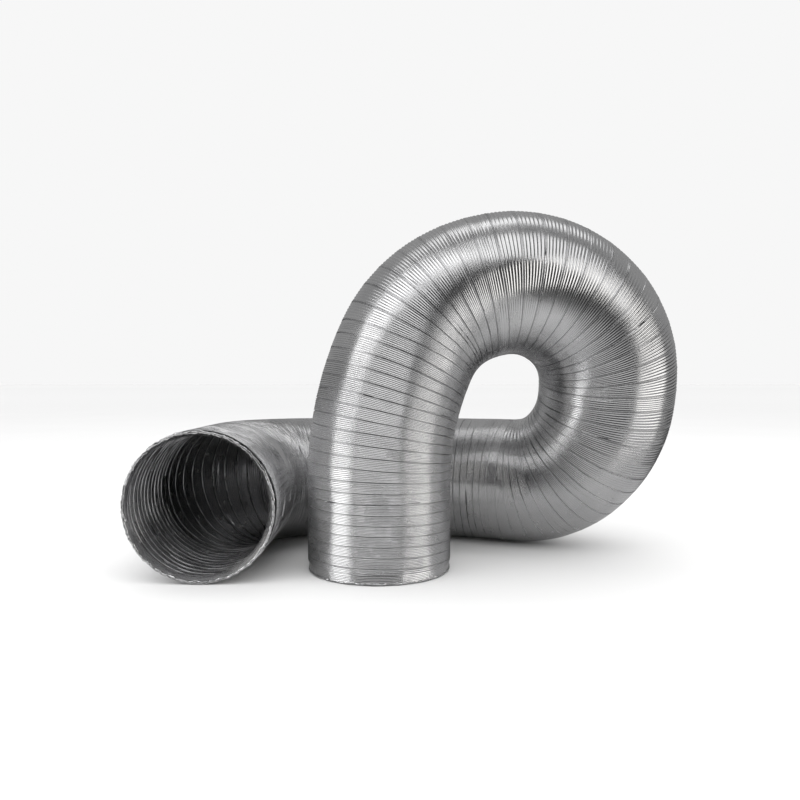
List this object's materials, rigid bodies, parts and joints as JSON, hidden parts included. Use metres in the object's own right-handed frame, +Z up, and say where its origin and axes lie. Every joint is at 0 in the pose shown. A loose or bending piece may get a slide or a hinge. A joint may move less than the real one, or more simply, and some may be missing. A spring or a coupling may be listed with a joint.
{
  "type": "flexible air duct",
  "caption": "Semi-rigid corrugated metal air duct bent into a standing loop, with open round cuffed ends for a round spigot.",
  "frame": {"origin": "centre of the standing end's open rim, on the floor that the duct stands on", "axes": "+Z up along the leg, +X to the side that the loop leans out to, -Y the way the open mouth faces"},
  "size_m": [0.4962, 0.2758, 0.3229],
  "materials": {
    "corrugated_wall": "satin, drawn along the strip",
    "end_cuff": "bright, flattened",
    "rolled_hem": "bright, creased"
  },
  "bodies": {
    "floor_run": {"floor_bend_upper_wall": "corrugated_wall", "floor_bend_lower_wall": "corrugated_wall", "floor_sweep_wall": "corrugated_wall", "back_stretch_turns": "corrugated_wall"},
    "loop_side": {"loop_right_wall": "corrugated_wall", "loop_lean_turns": "corrugated_wall"},
    "loop": {"shoulder_upper_wall": "corrugated_wall", "shoulder_lower_wall": "corrugated_wall", "crown_left_wall": "corrugated_wall", "crown_right_wall": "corrugated_wall", "loop_left_upper_wall": "corrugated_wall", "loop_left_lower_wall": "corrugated_wall", "rise_wall": "corrugated_wall", "loop_open_turns": "corrugated_wall"},
    "leg": {"leg_upper_wall": "corrugated_wall", "leg_swing_turns": "corrugated_wall"},
    "standing_end": {"leg_lower_wall": "corrugated_wall", "leg_stretch_turns": "corrugated_wall", "standing_end_cuff": "end_cuff", "standing_end_hem": "rolled_hem"},
    "back_run": {"back_run_wall": "corrugated_wall"},
    "front_bend": {"front_bend_wall": "corrugated_wall", "mouth_bend_rear_wall": "corrugated_wall", "mouth_bend_front_wall": "corrugated_wall", "front_swing_turns": "corrugated_wall"},
    "mouth_rear": {"mouth_rear_wall": "corrugated_wall", "mouth_tilt_turns": "corrugated_wall"},
    "mouth_end": {"mouth_front_wall": "corrugated_wall", "mouth_stretch_turns": "corrugated_wall", "mouth_cuff": "end_cuff", "mouth_hem": "rolled_hem"}
  },
  "joints": [
    {"name": "loop_lean", "type": "hinge", "parent": "floor_run", "child": "loop_side", "pos_m": [0.20461, 0.07615, 0.10251], "axis": [-0.7899, 0.1981, 0.5803], "range_deg": [0, 10], "deforming": ["loop_lean_turns"]},
    {"name": "loop_open", "type": "hinge", "parent": "loop_side", "child": "loop", "pos_m": [0.21887, 0.0536, 0.17025], "axis": [-0.1059, 0.9665, 0.2337], "range_deg": [0, 8], "deforming": ["loop_open_turns"]},
    {"name": "leg_swing", "type": "hinge", "parent": "loop", "child": "leg", "pos_m": [0.00024, 0.0001, 0.093], "axis": [-0.3677, 0.93, 0], "range_deg": [-5, 8], "deforming": ["leg_swing_turns"]},
    {"name": "leg_stretch", "type": "slide", "parent": "leg", "child": "standing_end", "axis": [0, 0, -1], "range_m": [-0.012, 0], "deforming": ["leg_stretch_turns"]},
    {"name": "back_stretch", "type": "slide", "parent": "floor_run", "child": "back_run", "axis": [-0.999, 0.0437, 0], "range_m": [-0.008, 0.04], "deforming": ["back_stretch_turns"]},
    {"name": "front_swing", "type": "hinge", "parent": "back_run", "child": "front_bend", "pos_m": [-0.02945, 0.14564, 0.0646], "axis": [0, 0, -1], "range_deg": [-3, 11], "deforming": ["front_swing_turns"]},
    {"name": "mouth_tilt", "type": "hinge", "parent": "front_bend", "child": "mouth_rear", "pos_m": [-0.148, 0.046, 0.0646], "axis": [-1, 0, 0], "range_deg": [0, 11], "deforming": ["mouth_tilt_turns"]},
    {"name": "mouth_stretch", "type": "slide", "parent": "mouth_rear", "child": "mouth_end", "axis": [0, -1, 0], "range_m": [-0.015, 0.045], "deforming": ["mouth_stretch_turns"]}
  ]
}
